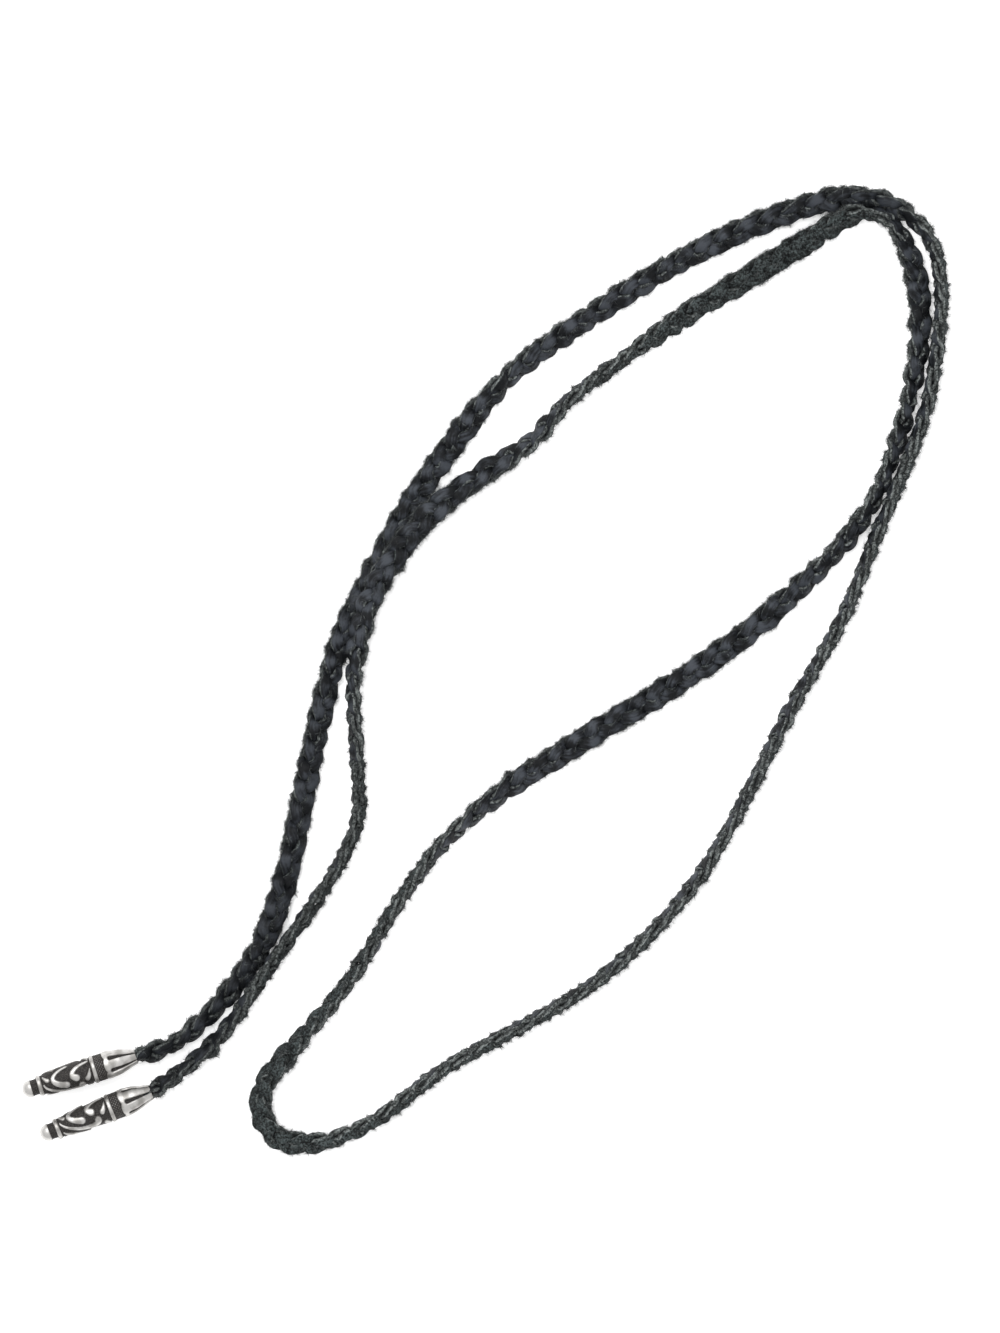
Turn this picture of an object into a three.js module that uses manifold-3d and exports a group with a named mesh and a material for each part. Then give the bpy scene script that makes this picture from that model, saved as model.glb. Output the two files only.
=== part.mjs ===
// Open braided leather necklace: three leather laces braided into one cord, with a cast silver tip on
// each end. It lies folded in two nested loops on a flat surface.
// Millimetres, +Z up. The origin is on the surface, under the middle of the whole necklace.
import * as THREE from 'three';
import { mergeVertices } from 'three/addons/utils/BufferGeometryUtils.js';
import Module from 'manifold-3d';

const wasm = await Module();
wasm.setup();

const { degToRad, lerp, smoothstep } = THREE.MathUtils;

// One lace: its width and thickness, and how far it swings across the braid and weaves through it
const LACE_WIDTH = 1.42;
const LACE_THICKNESS = 1.14;
const LACE_SWING = 1.72;
const LACE_WEAVE = 0.77;
const LACE_SIDES = 4;

// The whole braid: how often the pattern repeats, and how the ends are skived to fit the tips
const BRAID_REPEATS = 72;
const SKIVED_WIDTH_SHARE = 0.5;
const SKIVED_THICKNESS_SHARE = 0.88;
const SKIVED_LENGTH = 6;
const WELD_DISTANCE = 1e-4;
const ROUTE_DIVISIONS = 3000;

// The six places that a lace takes in one repeat, as shares of its swing and its weave: it crosses on
// top, turns at one edge, goes under, comes up on the other half, turns there and goes under again
const LACE_PLACES = [
  { across: 0.5, through: 1 },
  { across: 1, through: 0 },
  { across: 0.5, through: -1 },
  { across: -0.5, through: 1 },
  { across: -1, through: 0 },
  { across: -0.5, through: -1 },
];
const LACE_NAMES = ['leather_lace_a', 'leather_lace_b', 'leather_lace_c'];
const PLACES_BETWEEN_LACES = LACE_PLACES.length / LACE_NAMES.length;

// Each lace is in two halves that meet at the middle of the cord, with a small gap between them
const HALF_GAP = 0.2;
const MID_REPEAT = BRAID_REPEATS / 2;
const LACE_HALVES = [
  { half: 'outer', from: 0, to: MID_REPEAT, trimStart: 0, trimEnd: HALF_GAP / 2 },
  { half: 'inner', from: MID_REPEAT, to: BRAID_REPEATS, trimStart: HALF_GAP / 2, trimEnd: 0 },
];

// One silver tip: its outline from the dome's end to the mouth that takes the braid
const TIP_SIDES = 24;
const TIP_PROFILE = [
  { part: 'dome', along: 0, radius: 0 },
  { part: 'dome', along: 0.25, radius: 0.9 },
  { part: 'dome', along: 0.95, radius: 1.55 },
  { part: 'dome', along: 1.9, radius: 1.78 },
  { part: 'groove', along: 2.05, radius: 1.6 },
  { part: 'groove', along: 3.2, radius: 1.6 },
  { part: 'small ring', along: 3.35, radius: 2.1 },
  { part: 'small ring', along: 4.0, radius: 2.1 },
  { part: 'barrel', along: 4.15, radius: 1.9 },
  { part: 'barrel', along: 9.0, radius: 2.32 },
  { part: 'barrel', along: 14.5, radius: 2.46 },
  { part: 'large ring', along: 14.65, radius: 2.9 },
  { part: 'large ring', along: 15.25, radius: 2.9 },
  { part: 'band', along: 15.4, radius: 2.68 },
  { part: 'band', along: 17.0, radius: 2.68 },
  { part: 'collar', along: 17.15, radius: 2.8 },
  { part: 'collar', along: 18.2, radius: 2.84 },
  { part: 'collar', along: 20.4, radius: 2.52 },
  { part: 'collar', along: 23.8, radius: 1.62 },
];
const TIP_LENGTH = TIP_PROFILE.at(-1).along;
const TIP_RADIUS = Math.max(...TIP_PROFILE.map((row) => row.radius));
const SOCKET_RADIUS = 1.4;
const SOCKET_DEPTH = 5;
const BRAID_INSERT = 4;

// Scrollwork raised on the barrel, repeated around it. Each scroll widens along a cubic curve from a thin
// tail to its head. The curve's points are a turn about the tip's axis in degrees and a place along it.
const SCROLL_REPEATS = 2;
const SCROLL_TAIL_SHARE = 0.25;
const RELIEF_HEIGHT = 0.3;
const RELIEF_ROOT = 0.25;
const UNROLLED_RADIUS = 2.3;
const SCROLLS = [
  { width: 1.5, steps: 6, from: [-88, 9.8], bend: [-66, 5.4], pull: [-16, 5.8], to: [6, 8.9] },
  { width: 1.45, steps: 6, from: [-78, 14.2], bend: [-66, 10.8], pull: [-34, 9.6], to: [-16, 11.2] },
  { width: 1.4, steps: 8, from: [-24, 4.5], bend: [34, 4.9], pull: [86, 11.8], to: [30, 12.0] },
  { width: 1.0, steps: 2, from: [-70, 4.6], bend: [-62, 4.8], pull: [-54, 5.0], to: [-44, 5.4] },
  { width: 1.05, steps: 2, from: [-40, 14.3], bend: [-28, 14.0], pull: [-14, 14.0], to: [2, 13.3] },
  { width: 1.0, steps: 2, from: [36, 4.6], bend: [50, 5.0], pull: [60, 5.6], to: [72, 6.8] },
  { width: 0.95, steps: 2, from: [92, 14.2], bend: [80, 14.2], pull: [70, 14.0], to: [60, 13.4] },
];

// Slots cut between the petals of the collar, which widen from the mouth to the petals' foot
const PETALS = 6;
const SLOT_TAIL_SHARE = 0.5;
const SLOT_DEPTH = 0.45;
const SLOT_CLEARANCE = 0.3;
const SLOT = { width: 0.85, steps: 2, from: [0, 23.4], bend: [0, 21.8], pull: [0, 20.2], to: [0, 18.6] };

// Where the tips lie: the middle of each mouth, the way the mouth faces and the turn about its axis
const TIPS = [
  { name: 'silver_tip_upper', mouthX: -69.7, mouthY: -77.2, heading: 17, turn: 30 },
  { name: 'silver_tip_lower', mouthX: -66.7, mouthY: -84.3, heading: 21.5, turn: 0 },
];
const TIP_HEIGHT = TIP_RADIUS * Math.cos(Math.PI / TIP_SIDES);
const END_ROLL = 65;

// The middle line of the cord, in four runs from the upper tip to the lower one. Roll 0 is the grain
// side up, 90 the braid on its edge and 180 the flesh side up. Lift is the height above lying flat.
const OUTER_LEFT_RUN = [
  { x: -60.9, y: -73.9, roll: 58, lift: 0.1 },
  { x: -47.0, y: -59.0, roll: 30, lift: 0 },
  { x: -41.1, y: -46.0, roll: 8, lift: 0 },
  { x: -33.1, y: -10.1, roll: 30, lift: 0 },
  { x: -28.7, y: 6.0, roll: 25, lift: 0 },
  { x: -22.9, y: 17.9, roll: 10, lift: 0 },
  { x: -14.3, y: 33.9, roll: 8, lift: 0 },
  { x: -6.0, y: 45.7, roll: 16, lift: 0 },
  { x: 3.9, y: 57.8, roll: 42, lift: 0 },
  { x: 19.7, y: 69.8, roll: 32, lift: 0 },
  { x: 47.1, y: 85.9, roll: 24, lift: 0 },
  { x: 71.0, y: 94.3, roll: 25, lift: 0.8 },
  { x: 79.0, y: 93.7, roll: 50, lift: 0.6 },
  { x: 85.2, y: 90.4, roll: 75, lift: 0 },
];
const OUTER_RIGHT_RUN = [
  { x: 89.2, y: 85.6, roll: 85, lift: 0 },
  { x: 91.1, y: 77.0, roll: 95, lift: 0 },
  { x: 88.6, y: 54.0, roll: 100, lift: 0 },
  { x: 77.9, y: 26.1, roll: 105, lift: 0 },
  { x: 71.3, y: 10.1, roll: 100, lift: 0 },
  { x: 62.2, y: -5.9, roll: 100, lift: 0 },
  { x: 42.4, y: -41.8, roll: 100, lift: 0 },
  { x: 22.8, y: -61.8, roll: 95, lift: 0 },
  { x: -8.9, y: -80.2, roll: 105, lift: 0 },
  { x: -20.9, y: -89.3, roll: 115, lift: 0 },
  { x: -29.0, y: -93.4, roll: 125, lift: 0 },
  { x: -36.0, y: -94.6, roll: 145, lift: 0 },
  { x: -41.9, y: -93.3, roll: 162, lift: 0 },
  { x: -44.9, y: -88.0, roll: 160, lift: 0 },
];
const INNER_RIGHT_RUN = [
  { x: -43.9, y: -82.7, roll: 150, lift: 0 },
  { x: -37.0, y: -74.1, roll: 128, lift: 0 },
  { x: -27.0, y: -62.0, roll: 110, lift: 0 },
  { x: -17.0, y: -46.0, roll: 95, lift: 0 },
  { x: -7.7, y: -33.9, roll: 78, lift: 0 },
  { x: 4.8, y: -23.4, roll: 35, lift: 0 },
  { x: 19.0, y: -14.4, roll: 4, lift: 0 },
  { x: 47.0, y: 3.2, roll: 12, lift: 0 },
  { x: 63.0, y: 16.6, roll: 30, lift: 0 },
  { x: 72.9, y: 26.9, roll: 58, lift: 0 },
  { x: 79.7, y: 38.0, roll: 66, lift: 0 },
  { x: 86.7, y: 64.0, roll: 48, lift: 0 },
  { x: 86.6, y: 76.0, roll: 16, lift: 0 },
  { x: 84.1, y: 84.8, roll: 42, lift: 0 },
  { x: 80.6, y: 90.0, roll: 77, lift: 0 },
];
const INNER_LEFT_RUN = [
  { x: 75.4, y: 91.0, roll: 108, lift: 0 },
  { x: 70.3, y: 89.1, roll: 138, lift: 0 },
  { x: 63.4, y: 84.9, roll: 168, lift: 0 },
  { x: 39.2, y: 70.3, roll: 145, lift: 0 },
  { x: 27.1, y: 61.8, roll: 103, lift: 0 },
  { x: 16.9, y: 54.1, roll: 86, lift: 0 },
  { x: 9.2, y: 45.7, roll: 58, lift: 0 },
  { x: -0.9, y: 38.9, roll: 20, lift: 0.5 },
  { x: -9.9, y: 32.1, roll: 5, lift: 2.4 },
  { x: -17.5, y: 23.3, roll: 5, lift: 3.3 },
  { x: -22.6, y: 14.7, roll: 10, lift: 3.3 },
  { x: -25.2, y: 6.3, roll: 42, lift: 2.6 },
  { x: -26.3, y: -4.0, roll: 72, lift: 0.6 },
  { x: -25.6, y: -18.0, roll: 85, lift: 0 },
  { x: -25.3, y: -29.0, roll: 95, lift: 0 },
  { x: -28.6, y: -37.8, roll: 95, lift: 0 },
  { x: -43.4, y: -59.8, roll: 100, lift: 0 },
  { x: -49.3, y: -68.4, roll: 80, lift: 0 },
  { x: -55.3, y: -75.6, roll: 65, lift: 0 },
  { x: -62.2, y: -81.2, roll: 62, lift: 0.2 },
];

const leather = new THREE.MeshStandardMaterial({ color: 0x2b2b2e, roughness: 0.7, metalness: 0 });
const silver = new THREE.MeshStandardMaterial({ color: 0xc9c8c4, roughness: 0.3, metalness: 1 });

// Height of the braid's middle above the surface when it lies there at a roll
function restHeight(roll) {
  const sine = Math.abs(Math.sin(degToRad(roll)));
  const cosine = Math.abs(Math.cos(degToRad(roll)));
  const reach = LACE_PLACES.map((place) => (
    Math.abs(place.across) * LACE_SWING * sine + Math.abs(place.through) * LACE_WEAVE * cosine));
  const half = Math.max((LACE_WIDTH / 2) * sine, (LACE_THICKNESS / 2) * cosine);
  return Math.max(...reach) + half;
}

// The way a tip's mouth faces
function headingOf(tip) {
  return new THREE.Vector3(Math.cos(degToRad(tip.heading)), Math.sin(degToRad(tip.heading)), 0);
}

// The two rows of the route at a tip: deep in its socket, and at its mouth
function socketRows(tip) {
  const heading = headingOf(tip);
  const lift = TIP_HEIGHT - restHeight(END_ROLL);
  return [BRAID_INSERT, 0].map((depth) => ({
    x: tip.mouthX - heading.x * depth,
    y: tip.mouthY - heading.y * depth,
    roll: END_ROLL,
    lift,
  }));
}

const [upperTip, lowerTip] = TIPS;
const ROUTE = [
  ...socketRows(upperTip),
  ...OUTER_LEFT_RUN,
  ...OUTER_RIGHT_RUN,
  ...INNER_RIGHT_RUN,
  ...INNER_LEFT_RUN,
  ...socketRows(lowerTip).reverse(),
];

const routeCurve = new THREE.CatmullRomCurve3(ROUTE.map((row) => new THREE.Vector3(row.x, row.y, 0)));
routeCurve.arcLengthDivisions = ROUTE_DIVISIONS;
const routeLength = routeCurve.getLength();

// The braid's own axes at a share of the route: its middle, and across and through it, shorter where
// the ends are skived
function braidFrame(share) {
  const along = routeCurve.getUtoTmapping(share);
  const place = Math.min(along, 1 - Number.EPSILON) * (ROUTE.length - 1);
  const row = ROUTE[Math.floor(place)];
  const next = ROUTE[Math.floor(place) + 1];
  const part = place - Math.floor(place);
  const roll = lerp(row.roll, next.roll, part);
  const lift = lerp(row.lift, next.lift, smoothstep(part, 0, 1));
  const middle = routeCurve.getPoint(along);
  middle.z = restHeight(roll) + lift;
  const ahead = routeCurve.getTangent(along);
  const left = new THREE.Vector3(-ahead.y, ahead.x, 0);
  const up = new THREE.Vector3(0, 0, 1);
  const across = left.clone().applyAxisAngle(ahead, degToRad(roll));
  const through = up.clone().applyAxisAngle(ahead, degToRad(roll));
  const fromEnd = Math.min(share, 1 - share) * routeLength;
  const grown = smoothstep(fromEnd, BRAID_INSERT, BRAID_INSERT + SKIVED_LENGTH);
  across.multiplyScalar(lerp(SKIVED_WIDTH_SHARE, 1, grown));
  through.multiplyScalar(lerp(SKIVED_THICKNESS_SHARE, 1, grown));
  return { middle, across, through };
}

// A closed geometry with welded vertices and no collapsed triangles
function welded(geometry) {
  geometry.deleteAttribute('normal');
  geometry.deleteAttribute('uv');
  const merged = mergeVertices(geometry, WELD_DISTANCE);
  const index = Array.from(merged.index.array);
  const kept = [];
  for (let i = 0; i < index.length; i += 3) {
    const [a, b, c] = index.slice(i, i + 3);
    if (a !== b && b !== c && c !== a) kept.push(a, b, c);
  }
  merged.setIndex(kept);
  return merged;
}

// Moves every vertex of a geometry to the place that a function gives for it
function reshaped(geometry, place) {
  const positions = geometry.getAttribute('position');
  const point = new THREE.Vector3();
  for (let i = 0; i < positions.count; i += 1) {
    point.fromBufferAttribute(positions, i);
    positions.setXYZ(i, ...place(point).toArray());
  }
  return geometry;
}

// Half of one lace: a long four-sided bar laid along the route, woven across and through the braid
function makeLace(laceIndex, { from, to, trimStart, trimEnd }) {
  const firstStep = from * LACE_PLACES.length;
  const steps = to * LACE_PLACES.length - firstStep;
  const bar = new THREE.CylinderGeometry(1, 1, steps, LACE_SIDES, steps);
  return welded(reshaped(bar, (point) => {
    const step = Math.round(point.y + steps / 2);
    const trim = (step === 0 ? trimStart : 0) - (step === steps ? trimEnd : 0);
    const share = (firstStep + step) / (BRAID_REPEATS * LACE_PLACES.length) + trim / routeLength;
    const place = LACE_PLACES[(firstStep + step + laceIndex * PLACES_BETWEEN_LACES) % LACE_PLACES.length];
    const { middle, across, through } = braidFrame(share);
    const sideways = place.across * LACE_SWING - point.x * (LACE_WIDTH / 2);
    const upward = place.through * LACE_WEAVE + point.z * (LACE_THICKNESS / 2);
    return middle.addScaledVector(across, sideways).addScaledVector(through, upward);
  }));
}

// Turns a closed geometry into a solid that can be joined and cut
function toSolid(geometry) {
  return new wasm.Manifold(new wasm.Mesh({
    numProp: 3,
    vertProperties: new Float32Array(geometry.getAttribute('position').array),
    triVerts: new Uint32Array(geometry.index.array),
  }));
}

// Turns a solid back into a geometry
function toGeometry(solid) {
  const mesh = solid.getMesh();
  const geometry = new THREE.BufferGeometry();
  geometry.setAttribute('position', new THREE.BufferAttribute(new Float32Array(mesh.vertProperties), 3));
  geometry.setIndex(Array.from(mesh.triVerts));
  return geometry;
}

// Radius of the tip's plain outer surface at a place along its axis
function tipRadius(along) {
  const after = Math.max(1, TIP_PROFILE.findIndex((row) => row.along >= along));
  const near = TIP_PROFILE[after - 1];
  const far = TIP_PROFILE[after];
  return lerp(near.radius, far.radius, (along - near.along) / (far.along - near.along));
}

// A tapered strip that follows a curve on the tip's surface, from one height over it to another
function surfaceStrip(row, { tailShare, turn, low, high }) {
  const corners = [row.from, row.bend, row.pull, row.to].map(([angle, along]) => (
    new THREE.Vector2(degToRad(angle) * UNROLLED_RADIUS, along)));
  const curve = new THREE.CubicBezierCurve(...corners);
  const bar = new THREE.BoxGeometry(1, 1, 1, row.steps, 1, 1);
  return toSolid(welded(reshaped(bar, (point) => {
    const share = point.x + 0.5;
    const middle = curve.getPoint(share);
    const ahead = curve.getTangent(share);
    const width = row.width * lerp(tailShare, 1, share);
    const around = middle.x - ahead.y * point.y * width;
    const along = middle.y + ahead.x * point.y * width;
    const radius = tipRadius(along) + (point.z > 0 ? high : low);
    const angle = around / UNROLLED_RADIUS + turn;
    return new THREE.Vector3(radius * Math.sin(angle), along, radius * Math.cos(angle));
  })));
}

// One tip: the turned body with its socket, the scrollwork joined on and the slots cut out
function makeTip(tip) {
  const outline = [
    ...TIP_PROFILE.map((row) => new THREE.Vector2(row.radius, row.along)),
    new THREE.Vector2(SOCKET_RADIUS, TIP_LENGTH),
    new THREE.Vector2(SOCKET_RADIUS, TIP_LENGTH - SOCKET_DEPTH),
    new THREE.Vector2(0, TIP_LENGTH - SOCKET_DEPTH),
  ];
  const turned = new THREE.LatheGeometry(outline, TIP_SIDES).rotateY(Math.PI / TIP_SIDES);
  let solid = toSolid(welded(turned));
  const relief = { tailShare: SCROLL_TAIL_SHARE, low: -RELIEF_ROOT, high: RELIEF_HEIGHT };
  for (let repeat = 0; repeat < SCROLL_REPEATS; repeat += 1) {
    const turn = degToRad(tip.turn) + (repeat * 2 * Math.PI) / SCROLL_REPEATS;
    for (const scroll of SCROLLS) solid = solid.add(surfaceStrip(scroll, { ...relief, turn }));
  }
  const cut = { tailShare: SLOT_TAIL_SHARE, low: -SLOT_DEPTH, high: SLOT_CLEARANCE };
  for (let petal = 0; petal < PETALS; petal += 1) {
    const turn = degToRad(tip.turn) + (petal * 2 * Math.PI) / PETALS;
    solid = solid.subtract(surfaceStrip(SLOT, { ...cut, turn }));
  }
  const heading = headingOf(tip);
  return toGeometry(solid)
    .rotateZ(degToRad(tip.heading) - Math.PI / 2)
    .translate(tip.mouthX - heading.x * TIP_LENGTH, tip.mouthY - heading.y * TIP_LENGTH, TIP_HEIGHT);
}

const group = new THREE.Group();

// Adds a named piece to the whole
function addPiece(name, geometry, material) {
  const mesh = new THREE.Mesh(geometry, material.clone());
  mesh.name = name;
  group.add(mesh);
}

LACE_NAMES.forEach((name, laceIndex) => {
  LACE_HALVES.forEach((half) => addPiece(`${name}_${half.half}`, makeLace(laceIndex, half), leather));
});
TIPS.forEach((tip) => addPiece(tip.name, makeTip(tip), silver));

export default group;
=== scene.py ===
"""Looks of an open braided leather necklace with two silver end tips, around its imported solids.

The solids give the frame. The three laces of the braid and the two tips are modelled again here in full
detail, at the same places, and stand for their solids. Sizes are in millimetres until a mesh is made.
"""
import logging
import math
from dataclasses import dataclass, field
from enum import Enum
from typing import Any, NamedTuple, Union

import bpy
import numpy as np
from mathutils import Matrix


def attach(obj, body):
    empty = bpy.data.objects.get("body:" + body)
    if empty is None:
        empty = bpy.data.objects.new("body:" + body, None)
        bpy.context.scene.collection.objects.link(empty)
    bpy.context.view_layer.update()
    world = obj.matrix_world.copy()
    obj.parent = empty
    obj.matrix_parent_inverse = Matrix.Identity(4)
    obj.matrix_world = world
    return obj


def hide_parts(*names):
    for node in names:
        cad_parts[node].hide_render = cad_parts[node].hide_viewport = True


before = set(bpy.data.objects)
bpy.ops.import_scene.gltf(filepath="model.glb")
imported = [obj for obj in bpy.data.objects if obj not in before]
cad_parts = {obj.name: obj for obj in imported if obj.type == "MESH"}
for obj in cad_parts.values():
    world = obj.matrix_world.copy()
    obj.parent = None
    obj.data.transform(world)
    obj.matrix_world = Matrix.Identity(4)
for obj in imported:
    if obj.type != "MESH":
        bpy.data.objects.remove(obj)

LOG = logging.getLogger("necklace")
MM = 0.001
BODY = "root"
SMOOTH_RISE = {"interpolation_type": "SMOOTHSTEP"}
Array = np.ndarray
Piece = bpy.types.Object
Material = bpy.types.Material
Colour = tuple[float, float, float, float]
Limits = tuple[float, float]
Value = Union["Wire", float, int, Colour, tuple[float, float, float]]


class Slot(Enum):
    """Material slots of the record, for the leather and the silver."""

    LEATHER = "black_leather"
    SILVER = "oxidised_silver"


class Mark(Enum):
    """Values kept on the points of a mesh for its finish."""

    GRAIN = "grain_side"
    # The cut edges, with painted light and shade on them.
    EDGE = "cut_edge"
    # On a lace its tone, with painted shade towards its rims; on a fibre its own tone.
    SHADE = "lace_shade"
    # Painted shade in the braid's hollows, darker towards the cord's ends and paler on some rows.
    OPEN = "open_part"
    RUN = "along_lace"
    HIGH = "high_part"
    RUB = "rubbed_part"


class Wire:
    """A shader socket that takes part in arithmetic."""

    def __init__(self, board: "Board", socket: bpy.types.NodeSocket) -> None:
        """Keeps the socket and the board that it is on."""
        self.board = board
        self.socket = socket

    def _math(self, operation: str, first: Value, second: Value) -> "Wire":
        """The wire of a Math node's result for two values or wires."""
        node = self.board.node("ShaderNodeMath", {"operation": operation}, {0: first, 1: second})
        return self.board.out(node)

    def __add__(self, other: Value) -> "Wire":
        """The sum of this wire and another value."""
        return self._math("ADD", self, other)

    def __radd__(self, other: Value) -> "Wire":
        """The sum of another value and this wire."""
        return self._math("ADD", other, self)

    def __sub__(self, other: Value) -> "Wire":
        """This wire less another value."""
        return self._math("SUBTRACT", self, other)

    def __rsub__(self, other: Value) -> "Wire":
        """Another value less this wire."""
        return self._math("SUBTRACT", other, self)

    def __mul__(self, other: Value) -> "Wire":
        """The product of this wire and another value."""
        return self._math("MULTIPLY", self, other)

    def __rmul__(self, other: Value) -> "Wire":
        """The product of another value and this wire."""
        return self._math("MULTIPLY", other, self)

    def __pow__(self, other: Value) -> "Wire":
        """This wire raised to a power."""
        return self._math("POWER", self, other)


class Board:
    """The node tree of one finish."""

    def __init__(self, tree: bpy.types.NodeTree) -> None:
        """Clears the tree and keeps it."""
        self.tree = tree
        tree.nodes.clear()

    def node(
        self,
        kind: str,
        settings: dict[str, Any] | None = None,
        sockets: dict[int | str, Value] | None = None,
    ) -> bpy.types.Node:
        """Adds a node.

        Args:
            kind: The node's type.
            settings: The node's own settings.
            sockets: Values or wires of the node's inputs, by name or number.

        Returns:
            The new node.
        """
        node = self.tree.nodes.new(kind)
        for key, value in (settings or {}).items():
            setattr(node, key, value)
        for key, value in (sockets or {}).items():
            if isinstance(value, Wire):
                self.tree.links.new(value.socket, node.inputs[key])
            else:
                node.inputs[key].default_value = value
        return node

    def out(self, node: bpy.types.Node, key: int | str = 0) -> Wire:
        """The wire of one of a node's outputs."""
        return Wire(self, node.outputs[key])

    def mark(self, mark: Mark) -> Wire:
        """The wire of a value kept on the mesh."""
        return self.out(self.node("ShaderNodeAttribute", {"attribute_name": mark.value}), "Fac")

    def place(self) -> Wire:
        """The wire of the object's own coordinates."""
        return self.out(self.node("ShaderNodeTexCoord"), "Object")

    def _noise(self, vector: Wire, scale: float, detail: float, distortion: float) -> Wire:
        """The wire of a noise in the coordinates of another wire."""
        sockets = {"Vector": vector, "Scale": scale, "Detail": detail, "Distortion": distortion}
        return self.out(self.node("ShaderNodeTexNoise", None, sockets), "Fac")

    def noise(self, scale: float, detail: float, distortion: float) -> Wire:
        """The wire of a noise in the object's own coordinates, in waves for each metre."""
        return self._noise(self.place(), scale, detail, distortion)

    def streaks(self, scale: float, detail: float = 4.0) -> Wire:
        """The wire of a noise drawn out along the laces, in waves for each millimetre across them."""
        run = self.out(self.node("ShaderNodeAttribute", {"attribute_name": Mark.RUN.value}), "Vector")
        return self._noise(run, scale, detail, 0.0)

    def cells(self, scale: float) -> Wire:
        """The wire of the distance to the nearest cell's middle, with that many cells for each metre."""
        sockets = {"Vector": self.place(), "Scale": scale}
        return self.out(self.node("ShaderNodeTexVoronoi", {"feature": "F1"}, sockets), "Distance")

    def between(self, value: Wire, low: float, high: float) -> Wire:
        """The wire of a value's smooth rise from 0 at a low value to 1 at a high one."""
        sockets = {"Value": value, "From Min": low, "From Max": high}
        return self.out(self.node("ShaderNodeMapRange", SMOOTH_RISE, sockets), "Result")

    def mix(self, factor: Wire, first: Value, second: Value) -> Wire:
        """The wire of a colour between two others."""
        settings = {"data_type": "RGBA", "clamp_factor": True}
        return self.out(self.node("ShaderNodeMix", settings, {0: factor, 6: first, 7: second}), 2)

    def bump(self, height: Wire, depth: float, strength: float = 1.0) -> Wire:
        """The wire of a normal bent by a height, whose full depth is in metres."""
        sockets = {"Height": height, "Distance": depth, "Strength": strength}
        return self.out(self.node("ShaderNodeBump", None, sockets), "Normal")

    def surface(self, sockets: dict[int | str, Value]) -> None:
        """Ends the finish with a Principled shader that has the given inputs."""
        shader = self.node("ShaderNodeBsdfPrincipled", None, sockets)
        self.node("ShaderNodeOutputMaterial", None, {"Surface": self.out(shader)})


def new_board(name: str) -> tuple[Material, Board]:
    """Makes an empty material.

    Args:
        name: The material's name.

    Returns:
        The material, and the board of its node tree.
    """
    material = bpy.data.materials.new(name)
    material.use_nodes = True
    return material, Board(material.node_tree)


class Noise(NamedTuple):
    """A noise: its waves for each metre, its finer layers and how far it is bent."""

    waves: float
    detail: float = 3.0
    bend: float = 0.0


class Side(NamedTuple):
    """One side of the leather: its colours, each noise's share in its tone, and the tone's limits."""

    dark: Colour
    pale: Colour
    shares: tuple[float, float, float, float]
    limits: Limits

    def colour(self, board: Board, noises: tuple[Wire, ...], base: Value, shown: Wire) -> Wire:
        """Mixes the side's colour.

        Args:
            board: The board of the finish.
            noises: The noises, in the order of their shares.
            base: What the noises add to.
            shown: How much of the tone shows, less where painted shade lies in the braid's hollows.

        Returns:
            The wire of the colour.
        """
        total = base
        for share, noise in zip(self.shares, noises):
            total = noise * share + total
        return board.mix(board.between(total, *self.limits) * shown, self.dark, self.pale)


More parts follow.
